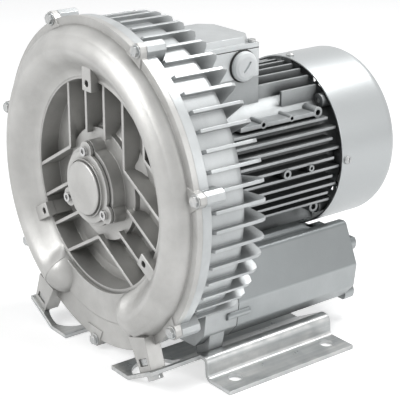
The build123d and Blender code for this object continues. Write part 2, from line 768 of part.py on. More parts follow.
def terminal_box():
    body = Pos(0, box_y, box_floor_z + box_h / 2) * Box(2 * box_half, box_len, box_h)
    room = 2 * (box_half - box_wall)
    body -= Pos(0, box_y, box_floor_z + box_h / 2 + 3.0) * Box(room, box_len - 2 * box_wall, box_h)
    posts = [Pos(x, y, box_floor_z + box_h / 2) * Cylinder(4.5, box_h) for x, y in lid_screw_xy]
    body = body.fuse(*posts)
    body &= Pos(0, box_y, box_floor_z + box_h / 2) * Box(2 * box_half, box_len, box_h)
    body -= Pos(0, core_start + 30.0, box_floor_z) * Cylinder(12.0, 20.0)
    holes = [Pos(x, y, box_top) * Cylinder(2.0 + thread_gap, 30.0) for x, y in lid_screw_xy]
    body = body.cut(*holes)
    body -= Pos(0, plug_y, plug_z) * Rot(0, 90, 0) * Cylinder(plug_thread_r + thread_gap, 200.0)
    return body


def terminal_lid_gasket():
    z = box_top + gasket_t / 2
    body = Pos(0, box_y, z) * Box(2 * box_half, box_len, gasket_t)
    body -= Pos(0, box_y, z) * Box(2 * (box_half - box_wall), box_len - 2 * box_wall, 2)
    pads = [Pos(x, y, z) * Box(10.0, 10.0, gasket_t) for x, y in lid_screw_xy]
    body = body.fuse(*pads)
    return body.cut(*[Pos(x, y, z) * Cylinder(2.0 + hole_gap, 4.0) for x, y in lid_screw_xy])


def terminal_lid():
    """Lid with a raised middle whose corners are cut back round the screws."""
    z0 = box_top + gasket_t
    rim_h = 4.6
    rim = Pos(0, box_y, z0 + rim_h / 2) * Box(2 * box_half, box_len, rim_h)
    outline = chamfer(Rectangle(2 * box_half - 4, box_len - 4).vertices(), 13.0)
    dome = Pos(0, box_y, z0 + rim_h) * extrude(outline, lid_h - rim_h - 0.8, taper=16)
    body = rim + dome
    hollow = chamfer(Rectangle(2 * box_half - 16, box_len - 16).vertices(), 13.0)
    body -= Pos(0, box_y, z0) * extrude(hollow, lid_h - 4.0)
    return body.cut(*[Pos(x, y, z0) * Cylinder(2.0 + hole_gap, 30.0) for x, y in lid_screw_xy])


def terminal_lid_screws():
    head = Cylinder(3.8, 2.8) - Pos(0, 0, 1.2) * Box(8.0, 1.1, 1.4)
    part = Pos(0, 0, 1.4) * head + Pos(0, 0, -8.0) * Cylinder(2.0, 16.0)
    z = box_top + gasket_t + 4.6
    return [Pos(x, y, z) * part for x, y in lid_screw_xy]


def terminal_block():
    body = Pos(0, box_y + 4.0, box_floor_z + 3.0 + 5.0) * Box(46.0, 34.0, 10.0)
    return body.cut(*[Pos(x, y, box_top) * Cylinder(2.1, 60.0) for x, y in stud_xy()])


def stud_xy():
    return [(15.0 * i, box_y + 4.0 + 9.0 * j) for i in (-1, 0, 1) for j in (-1, 1)]


def terminal_studs():
    z = box_floor_z + 3.0
    stud = Pos(0, 0, 8.0) * Cylinder(2.0, 16.0) + Pos(0, 0, 11.6) * extrude(RegularPolygon(4.0, 6), 3.0)
    return [Pos(x, y, z) * stud for x, y in stud_xy()]


def plug(side):
    """Blanking plug with a coin slot, screwed into the box wall."""
    head = spun([(0, 0), (plug_head_r, 0), (plug_head_r, -3.2), (plug_head_r - 1.6, -5.2),
                 (plug_head_r - 4.5, -6.4), (0, -7.0)][::-1])
    body = head + rod(plug_thread_r, 0, 9.0)
    body -= rod(plug_thread_r - 3.0, 3.0, 10.0)
    body -= Pos(0, -6.5, 0) * Box(2.2, 4.4, 12.5)
    body = Pos(box_half + gasket_t, plug_y, plug_z) * Rot(0, 0, 90) * Rot(0, 40, 0) * body
    return body if side > 0 else mirrored(body)


def plug_seals():
    ring = Pos(box_half, plug_y, plug_z) * Rot(0, 0, -90) \
        * tube(plug_head_r - 1.2, plug_thread_r + 0.05, 0, gasket_t)
    return [ring, mirrored(ring)]


def earth_screw():
    return Pos(-box_half, earth_y, earth_z) * Rot(0, 0, -90) \
        * screw(m5_r, 10.0, m5_head_r, m5_head_h)


# ---------------------------------------------------------------- silencers

def silencer():
    """Right silencer: a cast duct, closed at the rear round the port."""
    length = silencer_end - silencer_start
    body = slab(duct_outline(), silencer_start, silencer_end)
    body -= slab(duct_outline(silencer_wall), silencer_start - 1, silencer_end - 5.0)
    body -= rod(silencer_port_r, silencer_end - 6, silencer_end + 1, port_x, port_z)
    for x, z in port_screws():
        body -= rod(m6_r + thread_gap, silencer_end - 6, silencer_end + 1, x, z)
    return body


def port_screws():
    across = 33.0
    return [(port_x + sx * across, port_z + sz * 26.5) for sx in (-1, 1) for sz in (-1, 1)
            if not (sx < 0 and sz > 0)]


def silencer_gasket():
    return slab(duct_outline() - duct_outline(silencer_wall), silencer_start - gasket_t, silencer_start)


def silencer_foam():
    body = slab(duct_outline(silencer_wall + 0.4), silencer_start + 4.0, silencer_end - 5.4)
    return body - rod(foam_bore_r, silencer_start, silencer_end, port_x, port_z)


def silencer_mesh():
    start = silencer_start + 4.0
    ring = rod(foam_bore_r - 0.3, start, silencer_end - 5.3, port_x, port_z)
    return ring - rod(foam_bore_r - 1.5, start - 1, silencer_end, port_x, port_z)


def port_flange():
    """Threaded port on the silencer's rear face."""
    depth = 14.0
    y0 = silencer_end
    ring = rod(port_bore_r + 8.5, y0, y0 + depth, port_x, port_z)
    ears = [rod(8.0, y0, y0 + depth - 2, x, z) for x, z in port_screws()]
    pad = slab(Pos(port_x, port_z + 2) * Rectangle(74.0, 50.0), y0, y0 + depth - 4)
    body = joined([ring, pad] + ears)
    body = body & slab(Pos(port_x + 2, port_z) * Rectangle(102.0, 66.0), y0, y0 + depth)
    body -= rod(port_bore_r, y0 - 1, y0 + depth + 1, port_x, port_z)
    for x, z in port_screws():
        body -= rod(m6_r + hole_gap, y0 - 1, y0 + depth + 1, x, z)
    return body


def port_flange_screws():
    part = Pos(0, silencer_end + 12.0, 0) * Rot(0, 0, 180) * screw(m6_r, 16.0, m6_head_r, m6_head_h)
    right = [Pos(x, 0, z) * part for x, z in port_screws()]
    return right + [mirrored(s) for s in right]


# ---------------------------------------------------------------- feet

def foot():
    """Right foot: one folded sheet, a slope for the cast legs between two floor strips."""
    half = sheet_t / 2
    low = floor_z + half
    top = apex_z - half
    knee_x = apex_x + half * (1 / cos(incline) - 1) / tan(incline)
    path = FilletPolyline((foot_edge_x, low), (foot_wall_x + 1.5, low), (foot_wall_x, top),
                          (knee_x, top), (knee_x - (top - low) / tan(incline), low), (toe_x, low),
                          radius=[5.5, 5.0, 6.0, 8.0])
    body = slab(trace(path, sheet_t), foot_front, foot_rear)
    body -= Pos(apex_x + 2.0 + 30.0, flange_front - 50.0, floor_z) * Box(60.0, 100.0, 120.0)
    body -= Pos(apex_x - 30.0, foot_window_y, floor_z) * Cylinder(foot_window_r, 80.0)
    for y in foot_hole_y():
        body -= Pos(foot_span_x / 2, y, floor_z) * Cylinder(foot_hole_d / 2, 20.0)
    for y in bolt_y():
        body -= on_slope(Cylinder(m8_r + hole_gap, 20.0), y)
    return body


def foot_hole_y():
    return [face_to_foot_holes, face_to_foot_holes + foot_span_y]


def bolt_y():
    return [sum(front_leg) / 2, sum(rear_leg) / 2]


def foot_bolts():
    head = extrude(RegularPolygon(m8_head_r + 0.8, 6), -m8_head_h)
    part = Pos(0, 0, -sheet_t) * (head + extrude(Circle(m8_r), 18.0))
    right = [on_slope(part, y) for y in bolt_y()]
    return right + [mirrored(b) for b in right]


def foot_nuts():
    nut = Box(13.0, 13.0, 6.4) - Cylinder(m8_r + thread_gap, 10.0)
    right = [on_slope(Pos(0, 0, nut_z) * nut, y) for y in bolt_y()]
    return right + [mirrored(n) for n in right]


# ---------------------------------------------------------------- writing

def group(shape):
    return Compound(children=list(shape)) if isinstance(shape, (list, tuple)) else shape


def write(nodes):
    """Stand the machine on its feet, with the origin amid the foot bolts, and write each node."""
    place = Pos(0, -(face_to_foot_holes + foot_span_y / 2), shaft_height)
    os.makedirs("parts", exist_ok=True)
    for name, shape in nodes.items():
        export_step(place * group(shape), "parts/" + name + ".step")


def nodes():
    front = bearing(shaft_front_r, front_brg_od, front_brg_w, front_ball_d, front_brg_start)
    rear = bearing(shaft_rear_r, rear_brg_od, rear_brg_w, rear_ball_d, rear_brg_start)
    parts = {
        "front_cover": front_cover(),
        "rear_casing": rear_casing(),
        "cover_screws": cover_screws(),
        "bearing_cap": bearing_cap(),
        "bearing_cap_gasket": bearing_cap_gasket(),
        "bearing_cap_screws": bearing_cap_screws(),
        "front_shaft_seal": shaft_seal(shaft_hub_r, front_seal_r, front_seal_y, seal_w),
        "rear_shaft_seal": shaft_seal(shaft_core_r, rear_seal_r, seal_end - seal_w, seal_w),
        "wave_spring": wave_spring(),
        "shaft": shaft(),
        "impeller": impeller(),
        "impeller_key": impeller_key(),
        "impeller_retaining_ring": impeller_retaining_ring(),
        "rotor_core": rotor_core(),
        "cooling_fan": cooling_fan(),
        "fan_retaining_clip": fan_retaining_clip(),
        "motor_frame": motor_frame(),
        "motor_fixing_screws": motor_fixing_screws(),
        "stator_core": stator_core(),
        "stator_windings": stator_windings(),
        "rear_end_shield": rear_end_shield(),
        "end_shield_screws": end_shield_screws(),
        "fan_cover": fan_cover(),
        "fan_cover_screws": fan_cover_screws(),
        "terminal_box": terminal_box(),
        "terminal_lid_gasket": terminal_lid_gasket(),
        "terminal_lid": terminal_lid(),
        "terminal_lid_screws": terminal_lid_screws(),
        "terminal_block": terminal_block(),
        "terminal_studs": terminal_studs(),
        "blanking_plug_right": plug(1),
        "blanking_plug_left": plug(-1),
        "plug_seals": plug_seals(),
        "earth_screw": earth_screw(),
        "port_flange_screws": port_flange_screws(),
        "foot_bolts": foot_bolts(),
        "foot_nuts": foot_nuts(),
    }
    for name, pieces in (("front_bearing", front), ("rear_bearing", rear)):
        for suffix, piece in zip(("outer_ring", "inner_ring", "cage", "balls"), pieces):
            parts[name + "_" + suffix] = piece
    for name, make in (("silencer", silencer), ("silencer_gasket", silencer_gasket),
                       ("silencer_foam", silencer_foam), ("silencer_mesh", silencer_mesh),
                       ("port_flange", port_flange), ("foot", foot)):
        right = make()
        parts[name + "_right"] = right
        parts[name + "_left"] = mirrored(right)
    return parts


write(nodes())
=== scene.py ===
"""Side channel blower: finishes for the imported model, small fittings, floor, lights and camera."""

import json
import math

import bmesh
import bpy
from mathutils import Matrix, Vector


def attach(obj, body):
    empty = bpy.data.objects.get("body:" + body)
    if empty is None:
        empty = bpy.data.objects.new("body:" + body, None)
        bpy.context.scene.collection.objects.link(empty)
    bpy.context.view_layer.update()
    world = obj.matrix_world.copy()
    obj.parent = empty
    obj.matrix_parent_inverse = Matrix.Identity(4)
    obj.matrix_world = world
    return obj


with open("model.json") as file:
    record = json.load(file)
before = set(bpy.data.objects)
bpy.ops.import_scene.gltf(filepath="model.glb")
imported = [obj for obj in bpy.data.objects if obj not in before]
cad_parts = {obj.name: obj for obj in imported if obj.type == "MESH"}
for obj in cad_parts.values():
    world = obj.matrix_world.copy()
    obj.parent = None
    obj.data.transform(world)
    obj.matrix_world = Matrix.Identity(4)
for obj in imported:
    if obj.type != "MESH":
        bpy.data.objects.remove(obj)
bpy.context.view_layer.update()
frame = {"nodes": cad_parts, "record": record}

MM = 0.001

# The shaft runs along y at this height. The cover's flange face stands at this y.
SHAFT_Z = 0.170
FLANGE_Y = -0.123

# Camera: where the photographer stood, which way the lens pointed, and its focal length
CAMERA_PLACE = (0.9429, -0.7227, 0.5656)
CAMERA_AIM = (-0.7444, 0.5714, -0.3455)
FOCAL_PX = 1270.6
IMAGE_PX = 400
SENSOR_MM = 36.0
CLIP_START = 0.05

# Studio: the world's light on the object, and the paper floor
WORLD_STRENGTH = 0.24
WORLD_TINT = (0.97, 0.985, 1.0)
WHITE = (1, 1, 1)
FLOOR_SIZE = 14.0
FLOOR_COLOUR = (0.80, 0.80, 0.80)
FLOOR_LIFT = 0.55

# Lamps: name, place, width of the disc in metres and power in watts. All point at LIT_POINT.
LIT_POINT = (0.0, 0.0, 0.16)
LAMPS = (
    ("key", (-0.5, -1.7, 1.2), 1.2, 19.0),
    ("top", (0.1, 0.9, 1.7), 0.8, 16.5),
    ("right", (2.0, 0.5, 0.9), 0.5, 12.0),
)

# Cast surfaces, in millimetres: depth and size of the grain, and the rounding of worn edges
CAST_GRAIN_DEPTH = 0.12
CAST_GRAIN_SIZE = 0.9
CAST_EDGE = 1.2
# How far a wall casts painted shade into the hollow beside it, in metres
HOLLOW_SHADE_REACH = 0.022
# Moulded plastic: size of the spark-eroded grain, in millimetres
PLASTIC_GRAIN_SIZE = 0.5


# ------------------------------------------------------------------ node helpers

def add_node(tree, kind, settings=None, **inputs):
    """A node: settings are its properties, inputs are values or sockets to link.

    An input is named by its socket, or by i and the socket's number.
    """
    node = tree.nodes.new(kind)
    for key, value in (settings or {}).items():
        setattr(node, key, value)
    for key, value in inputs.items():
        numbered = key[0] == "i" and key[1:].isdigit()
        socket = node.inputs[int(key[1:]) if numbered else key.replace("_", " ")]
        if isinstance(value, bpy.types.NodeSocket):
            tree.links.new(value, socket)
        else:
            socket.default_value = value
    return node


def grey(level, warmth=0.0):
    """A grey given as a display level from 0 to 255, warmer or cooler by a few levels."""
    channels = []
    for shift in (warmth, 0.6 * abs(warmth), -warmth):
        v = max(level + shift, 0.0) / 255.0
        channels.append(v / 12.92 if v <= 0.04045 else ((v + 0.055) / 1.055) ** 2.4)
    return (*channels, 1.0)


class Shader:
    """A material with a Principled shader and short calls to add the nodes that feed it."""

    def __init__(self, name, colour, metallic, roughness, **sockets):
        self.material = bpy.data.materials.new(name)
        self.material.use_nodes = True
        self.tree = self.material.node_tree
        self.shader = self.tree.nodes["Principled BSDF"]
        self.set("Base Color", colour)
        self.set("Metallic", metallic)
        self.set("Roughness", roughness)
        for socket, value in sockets.items():
            self.set(socket.replace("_", " "), value)

    def set(self, socket, value):
        self.shader.inputs[socket].default_value = value

    def wire(self, socket, value):
        self.tree.links.new(value, self.shader.inputs[socket])

    def add(self, kind, settings=None, **inputs):
        return add_node(self.tree, "ShaderNode" + kind, settings, **inputs)

    def place(self, scale=(1, 1, 1)):
        """Object coordinates in metres, stretched by scale."""
        coords = self.add("TexCoord").outputs["Object"]
        return self.add("Mapping", Vector=coords, Scale=scale).outputs["Vector"]

    def noise(self, vector, scale, detail=3.0, roughness=0.55):
        node = self.add("TexNoise", Vector=vector, Scale=scale, Detail=detail,
                        Roughness=roughness)
        return node.outputs["Fac"]

    def spread(self, value, low, high, to_low, to_high):
        """Map value from low..high to to_low..to_high, clamped."""
        node = self.add("MapRange", i0=value, i1=low, i2=high, i3=to_low, i4=to_high)
        return node.outputs[0]

    def mix(self, factor, a, b):
        return self.add("Mix", {"data_type": "RGBA"}, i0=factor, i6=a, i7=b).outputs[2]

    def calc(self, operation, a, b):
        return self.add("Math", {"operation": operation}, i0=a, i1=b).outputs[0]

    def bump(self, height, distance, strength, normal=None):
        node = self.add("Bump", Height=height, Distance=distance, Strength=strength)
        if normal:
            self.tree.links.new(normal, node.inputs["Normal"])
        return node.outputs["Normal"]

    def rounded(self, radius):
        """Normals as if every edge were rounded."""
        return self.add("Bevel", {"samples": 6}, Radius=radius).outputs["Normal"]


# ------------------------------------------------------------------ materials
# level and mottling are display levels, as in grey().

def cast_metal(name, level, warmth, metallic, hollow_shade, roughness=0.42, mottling=10.0, top_shade=0.0):
    """Cast aluminium: fine grain, mottled tone and worn edges.

    Painted shade darkens the hollows, and more painted shade darkens the faces that look up.
    """
    m = Shader(name, grey(level, warmth), metallic, roughness)
    here = m.place()
    patch = m.spread(m.noise(here, 28.0, 4.0), 0.35, 0.65, 0.0, 1.0)
    tone = m.mix(patch, grey(level - mottling, warmth), grey(level + mottling * 0.6, warmth))
    # Painted shade in the hollows: ambient occlusion darkens the colour where walls stand close
    hollow = m.add("AmbientOcclusion", {"samples": 8}, Distance=HOLLOW_SHADE_REACH).outputs["AO"]
    hollow_shade_mask = m.spread(hollow, 0.25, 0.95, hollow_shade, 0.0)
    tone = m.mix(hollow_shade_mask, tone, grey(level * 0.42, warmth + 1))
    # Painted shade: the colour darkens on faces that look up
    up = m.add("SeparateXYZ", Vector=m.add("NewGeometry").outputs["Normal"]).outputs["Z"]
    tone = m.mix(m.spread(up, 0.05, 0.45, 0.0, top_shade), tone, grey(level * 0.6, warmth))
    m.wire("Base Color", tone)
    fine = m.noise(here, 1.0 / (CAST_GRAIN_SIZE * MM), 2.5, 0.6)
    pits = m.noise(here, 0.35 / (CAST_GRAIN_SIZE * MM), 2.0, 0.5)
    height = m.calc("ADD", fine, pits)
    soft = m.rounded(CAST_EDGE * MM)
    m.wire("Normal", m.bump(height, CAST_GRAIN_DEPTH * MM, 0.6, soft))
    m.wire("Roughness", m.spread(fine, 0.3, 0.7, roughness - 0.06, roughness + 0.1))
    return m.material


def rolled_zinc(name, level, roughness=0.34):
    """Zinc plated sheet and screws: faint streaks along the rolling direction, cloudy patches."""
    m = Shader(name, grey(level), 0.85, roughness)
    streaks = m.noise(m.place((220.0, 6.0, 220.0)), 1.0, 3.0)
    clouds = m.noise(m.place(), 60.0, 4.0, 0.65)
    blend = m.spread(m.calc("MULTIPLY", streaks, clouds), 0.12, 0.42, 0.0, 1.0)
    m.wire("Base Color", m.mix(blend, grey(level - 16, -2.0), grey(level + 12, 1.0)))
    m.wire("Roughness", m.spread(clouds, 0.3, 0.7, roughness - 0.08, roughness + 0.12))
    m.wire("Normal", m.bump(streaks, 0.05 * MM, 0.5, m.rounded(0.8 * MM)))
    return m.material


def sprayed_metal(name, level, roughness):
    """Silver sprayed sheet: metal flake under a thin clear coat with faint orange peel."""
    m = Shader(name, grey(level), 0.8, roughness, Coat_Weight=0.1, Coat_Roughness=0.3)
    here = m.place()
    flake = m.add("TexVoronoi", Vector=here, Scale=2600.0).outputs["Color"]
    sparkle = m.spread(m.add("RGBToBW", Color=flake).outputs[0], 0.2, 0.8, 0.0, 1.0)
    m.wire("Base Color", m.mix(sparkle, grey(level - 2, -2.0), grey(level + 2, -2.0)))
    peel = m.noise(here, 420.0, 2.0)
    m.wire("Normal", m.bump(peel, 0.03 * MM, 0.25, m.rounded(1.0 * MM)))
    m.wire("Roughness", m.spread(peel, 0.3, 0.7, roughness - 0.01, roughness + 0.06))
    return m.material


def turned_steel(name, level, roughness=0.28):
    """Machined steel: fine rings left by the tool across the shaft's axis."""
    m = Shader(name, grey(level), 0.95, roughness)
    rings = m.noise(m.place((40.0, 2600.0, 40.0)), 1.0, 2.0)
    m.wire("Base Color", m.mix(rings, grey(level - 14), grey(level + 12)))
    m.wire("Roughness", m.spread(rings, 0.3, 0.7, roughness - 0.08, roughness + 0.1))
    m.wire("Normal", m.bump(rings, 0.02 * MM, 0.5, m.rounded(0.4 * MM)))
    return m.material


def moulded(name, level, warmth, roughness):
    """Moulded plastic with a spark-eroded grain."""
    m = Shader(name, grey(level, warmth), 0.0, roughness)
    here = m.place()
    grain = m.noise(here, 1.0 / (PLASTIC_GRAIN_SIZE * MM), 2.0)
    clouds = m.noise(here, 45.0, 2.0)
    m.wire("Base Color", m.mix(clouds, grey(level - 6, warmth), grey(level + 5, warmth)))
    m.wire("Normal", m.bump(grain, 0.06 * MM, 0.6, m.rounded(0.5 * MM)))
    m.wire("Roughness", m.spread(grain, 0.3, 0.7, roughness - 0.06, roughness + 0.1))
    return m.material


def rubbery(name, level):
    """Black rubber, dull with a dusty bloom."""
    m = Shader(name, grey(level), 0.0, 0.75)
    bloom = m.noise(m.place(), 300.0, 3.0)
    m.wire("Base Color", m.mix(bloom, grey(level - 8), grey(level + 14)))
    m.wire("Normal", m.bump(bloom, 0.05 * MM, 0.5))
    return m.material


def fibrous(name, level, size):
    """Pressed fibre or open foam: cells of the given size in millimetres."""
    m = Shader(name, grey(level), 0.0, 0.95)
    cells = m.add("TexVoronoi", Vector=m.place(), Scale=1.0 / (size * MM)).outputs["Distance"]
    pit_shade = m.spread(cells, 0.1, 0.6, 0.0, 1.0)
    # Painted shade: darker towards the bottom of each cell's pit
    m.wire("Base Color", m.mix(pit_shade, grey(level * 0.5), grey(level)))
    m.wire("Normal", m.bump(cells, 0.4 * size * MM, 0.8))
    return m.material


def wound_copper(name):
    """Varnished copper wire, wound round the shaft's axis."""
    m = Shader(name, (0.45, 0.17, 0.06, 1.0), 0.6, 0.35, Coat_Weight=0.6, Coat_Roughness=0.2)
    turns = m.add("TexWave", {"bands_direction": "Z"}, Vector=m.place(), Scale=220.0,
                  Distortion=2.0).outputs["Fac"]
    m.wire("Base Color", m.mix(turns, (0.20, 0.07, 0.03, 1), (0.52, 0.21, 0.08, 1)))
    m.wire("Normal", m.bump(turns, 0.3 * MM, 0.8))
    return m.material


def stacked_iron(name):
    """Laminated electrical steel: thin sheets stacked along the shaft."""
    m = Shader(name, grey(70), 0.6, 0.5)
    sheets = m.add("TexWave", {"bands_direction": "Y"}, Vector=m.place(),
                   Scale=320.0).outputs["Fac"]
    m.wire("Base Color", m.mix(sheets, grey(45), grey(88)))
    m.wire("Normal", m.bump(sheets, 0.1 * MM, 0.6))
    return m.material


FINISHES = {
    "cast_cover": cast_metal("cast_cover", 191, 1.4, metallic=0.65, hollow_shade=0.55),
    "cast_casing": cast_metal("cast_casing", 198, -2.0, metallic=0.6, hollow_shade=0.7,
                              roughness=0.38),
    "cast_duct": cast_metal("cast_duct", 184, -2.5, metallic=0.6, hollow_shade=0.8, roughness=0.4,
                            mottling=5.0, top_shade=0.72),
    "motor_casting": cast_metal("motor_casting", 176, -2.0, metallic=0.5, hollow_shade=1.0),
    "painted_cowl": sprayed_metal("painted_cowl", 186, 0.34),
    "zinc_sheet": rolled_zinc("zinc_sheet", 192),
    "zinc_screw": rolled_zinc("zinc_screw", 190, 0.3),
    "bearing_steel": turned_steel("bearing_steel", 190, 0.18),
    "shaft_steel": turned_steel("shaft_steel", 165),
    "laminations": stacked_iron("laminations"),
    "copper_winding": wound_copper("copper_winding"),
    "gasket_fibre": fibrous("gasket_fibre", 88, 0.6),
    "seal_rubber": rubbery("seal_rubber", 42),
    "fan_plastic": moulded("fan_plastic", 46, 0.0, 0.5),
    "plug_plastic": moulded("plug_plastic", 244, -2.0, 0.42),
    "block_plastic": moulded("block_plastic", 58, 3.0, 0.45),
    "foam": fibrous("foam", 70, 2.2),
}


def dress_nodes():
    """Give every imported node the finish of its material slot, and the terminal box a paler one."""
    for part in frame["record"]["subparts"]:
        node = frame["nodes"][part["node"]]
        node.data.materials.clear()
        node.data.materials.append(FINISHES[part["material_slot"]])
    bright = cast_metal("box_casting", 226, -2.0, metallic=0.4, hollow_shade=0.4, roughness=0.4,
                        top_shade=0.4)
    for name in ("terminal_box", "terminal_lid"):
        frame["nodes"][name].data.materials[0] = bright


# ------------------------------------------------------------------ extra pieces
# Sizes are in millimetres about the shaft: y runs along it and is 0 at the cover's flange face.

RIB_GROUP_ANGLES = (90.0, -30.0, 210.0)
LUG_ANGLES = [11.0 + 360.0 * i / 7 for i in range(7)]
LUG_SCREW_R = 160.0
SIDES = ((1, "right"), (-1, "left"))
SHARP_ANGLE = math.radians(40)
# Middle of the right blanking plug's seat on the terminal box
PLUG_PLACE = (40.0, 144.0, 100.1)


def about_shaft(x, y, z):
    return Vector((x * MM, y * MM + FLANGE_Y, z * MM + SHAFT_Z))


def around(r, y, angle, across=0.0):
    """A point at a radius and an angle round the shaft, moved sideways by across."""
    c, s = math.cos(math.radians(angle)), math.sin(math.radians(angle))
    return about_shaft(r * c - across * s, y, r * s + across * c)


def outward(angle, start=0.0):
    """Places (u, v, y): u out from the radius start at an angle, v sideways."""
    return lambda u, v, y: around(start + u, y, angle, v)


def facing_front(side):
    """Places (x, z, y) of an outline that faces along the shaft, on one side."""
    return lambda x, z, y: about_shaft(side * x, y, z)


def facing_side(side):
    """Places (y, z, x) of an outline that faces one side."""
    return lambda y, z, x: about_shaft(side * x, y, z)


def round_plug(side):
    """Places (r, out, angle) round the blanking plug of one side."""
    x, y, z = PLUG_PLACE

    def place(r, out, angle):
        a = math.radians(angle)
        return about_shaft(side * (x + out), y + r * math.cos(a), z + r * math.sin(a))
    return place


def piece(name, bm, slot, edge):
    """A mesh that rides on the fixed body, with the finish of its slot and rounded edges."""
    bmesh.ops.recalc_face_normals(bm, faces=bm.faces)
    mesh = bpy.data.meshes.new(name)
    bm.to_mesh(mesh)
    bm.free()
    mesh.materials.append(FINISHES[slot])
    mesh.shade_smooth()
    mesh.set_sharp_from_angle(angle=SHARP_ANGLE)
    made = bpy.data.objects.new(name, mesh)
    bpy.context.scene.collection.objects.link(made)
    soft = made.modifiers.new("edges", "BEVEL")
    soft.width = edge * MM
    soft.segments = 2
    soft.limit_method = "ANGLE"
    soft.angle_limit = SHARP_ANGLE
    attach(made, "stator")


def revolved(profile, place=around, steps=144):
    """A closed outline of (radius, y), turned all the way round."""
    bm = bmesh.new()
    rings = [[bm.verts.new(place(r, y, 360.0 * i / steps)) for r, y in profile]
             for i in range(steps)]
    count = len(profile)
    for i in range(steps):
        near, far = rings[i], rings[(i + 1) % steps]
        for j in range(count):
            k = (j + 1) % count
            bm.faces.new((near[j], near[k], far[k], far[j]))
    return bm


def drawn(outline, holes, place, low, high):
    """Outlines of (u, v), the first with the others as holes, drawn out from low to high."""
    bm = bmesh.new()
    edges = []
    for points in [outline] + holes:
        loop = [bm.verts.new(place(u, v, low)) for u, v in points]
        edges += [bm.edges.new((loop[i], loop[(i + 1) % len(loop)])) for i in range(len(loop))]
    face = bmesh.ops.triangle_fill(bm, use_beauty=True, edges=edges)
    bottom = [g for g in face["geom"] if isinstance(g, bmesh.types.BMFace)]
    raised = bmesh.ops.extrude_face_region(bm, geom=bottom)
    shift = place(0.0, 0.0, high) - place(0.0, 0.0, low)
    top = [g for g in raised["geom"] if isinstance(g, bmesh.types.BMVert)]
    bmesh.ops.translate(bm, vec=shift, verts=top)
    return bm


def oval(u, v, half_u, half_v, steps):
    turns = [math.tau * i / steps for i in range(steps)]
    return [(u + half_u * math.cos(a), v + half_v * math.sin(a)) for a in turns]


def circle(u, v, r, steps=20):
    return oval(u, v, r, r, steps)


def add_tabs():
    """Drilled bars that lie on the inner slope of the cover's bulge."""
    start, end, half = 91.2, 115.0, 7.2
    bar = [(start, -half), (end, -half), (end, half), (start, half)]
    hole = circle(98.5, 0.0, 3.1)
    for angle in RIB_GROUP_ANGLES:
        bm = drawn(bar, [hole], outward(angle), -5.3, 4.0)
        piece("cover_tab_%d" % (angle % 360), bm, "cast_cover", 0.7)


def add_recess_steps():
    """Cone round the collar and the shallow step in the floor of the recess."""
    cone = [(53.5, 14.0), (54.6, 14.0), (57.5, 18.0), (63.5, 21.2), (63.5, 22.3), (53.5, 22.3)]
    piece("collar_cone", revolved(cone), "cast_cover", 0.6)
    step = [(63.0, 19.8), (85.0, 19.8), (87.0, 21.0), (87.0, 22.3), (63.0, 22.3)]
    piece("floor_step", revolved(step), "cast_cover", 0.5)


def add_washers():
    """Washers under the heads of the cover screws."""
    rim, hole = circle(0, 0, 6.3, 28), circle(0, 0, 3.3)
    for i, angle in enumerate(LUG_ANGLES):
        bm = drawn(rim, [hole], outward(angle, LUG_SCREW_R), -2.0, -1.0)
        piece("cover_washer_%d" % i, bm, "zinc_screw", 0.25)


def add_motor_pad():
    """Pad with rounded corners, cast on the belly of the motor."""
    corner, steps = 8.0, 6
    outline = []
    for x, z, start in ((20.0, -80.0, 270.0), (20.0, -72.0, 0.0), (-20.0, -72.0, 90.0),
                        (-20.0, -80.0, 180.0)):
        for i in range(steps + 1):
            a = math.radians(start + 90.0 / steps * i)
            outline.append((x + corner * math.cos(a), z + corner * math.sin(a)))
    bm = drawn(outline, [], facing_front(1), 97.0, 205.0)
    piece("motor_pad", bm, "motor_casting", 0.8)


def add_silencer_details():
    """Boss across the joint of casing and silencer, and the raised strip on the roof."""
    boss = oval(108.0, -114.0, 5.0, 4.0, 24)
    strip = [(85.5, -76.0), (85.5, -57.5), (188.0, -57.5), (203.0, -66.0), (203.0, -76.0)]
    for side, word in SIDES:
        bm = drawn(boss, [], facing_front(side), 71.0, 98.0)
        piece("joint_boss_" + word, bm, "cast_duct", 2.0)
        bm = drawn(strip, [], facing_side(side), 70.0, 84.0)
        piece("roof_strip_" + word, bm, "cast_duct", 2.5)


def add_plug_rings():
    """Dark sealing lip round each blanking plug."""
    lip = [(14.0, 0.0), (15.8, 0.0), (15.8, 1.0), (15.0, 1.8), (14.0, 1.8)]
    for side, word in SIDES:
        piece("plug_ring_" + word, revolved(lip, round_plug(side), 64), "seal_rubber", 0.3)


# Height of the bulge over its inner slope, in mm: (radius, y), from the lip up to the crest
SLOPE = ((102.5, 3.0), (103.5, 2.8), (107.5, 0.6), (111.2, -2.7), (115.0, -6.6), (118.0, -9.8),
         (122.0, -13.4), (126.0, -16.1), (130.5, -17.5))

# The bulge's wall, in metres: it is round about a line at this radius and y. What lies farther
# from that line than CAVITY_R is its outer face, and the inner face keeps SLOPE_WALL behind it.
BULGE_R, BULGE_Y = 0.1255, 0.006
CAVITY_R = 0.0209
SLOPE_WALL = 0.0035
# What lies behind this y, in metres, stays where it is
SLOPE_END_Y = 0.0058
# Degrees from the bottom: no change up to the first, for the port divider, all of it from the last
SLOPE_FADE = (29.0, 41.0)


